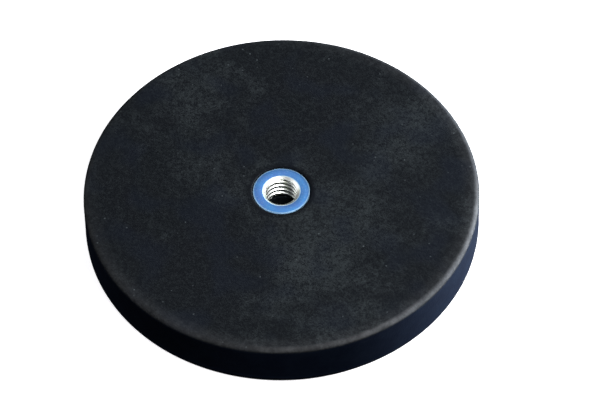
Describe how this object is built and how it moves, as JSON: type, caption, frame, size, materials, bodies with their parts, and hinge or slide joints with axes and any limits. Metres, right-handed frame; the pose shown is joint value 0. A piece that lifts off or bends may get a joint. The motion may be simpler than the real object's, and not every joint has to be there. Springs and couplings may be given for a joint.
{
  "type": "rubber coated pot magnet",
  "caption": "Flat round holding magnet in a black rubber jacket, with a flush threaded metal bush at the centre of its back for a screw, hook or eyebolt.",
  "frame": {"origin": "centre of the flat contact face, at the object's base", "axes": "+Z along the bush's axis, from the contact face out of the threaded hole; X and Y lie in the contact face, and +X points at inner magnet 01"},
  "size_m": [0.066, 0.066, 0.0085],
  "materials": {
    "black_rubber": "matt moulded rubber, black with a faint grey bloom",
    "galvanised_steel": "zinc-plated sheet steel",
    "blue_zinc": "turned steel, blue-passivated zinc, satin",
    "nickel_plate": "bright nickel plating"
  },
  "bodies": {
    "root": {"rubber_jacket": "black_rubber", "steel_plate": "galvanised_steel", "threaded_bush": "blue_zinc", "magnet_outer_01": "nickel_plate", "magnet_outer_02": "nickel_plate", "magnet_outer_03": "nickel_plate", "magnet_outer_04": "nickel_plate", "magnet_outer_05": "nickel_plate", "magnet_outer_06": "nickel_plate", "magnet_outer_07": "nickel_plate", "magnet_outer_08": "nickel_plate", "magnet_outer_09": "nickel_plate", "magnet_outer_10": "nickel_plate", "magnet_outer_11": "nickel_plate", "magnet_outer_12": "nickel_plate", "magnet_inner_01": "nickel_plate", "magnet_inner_02": "nickel_plate", "magnet_inner_03": "nickel_plate", "magnet_inner_04": "nickel_plate", "magnet_inner_05": "nickel_plate", "magnet_inner_06": "nickel_plate"}
  },
  "joints": []
}
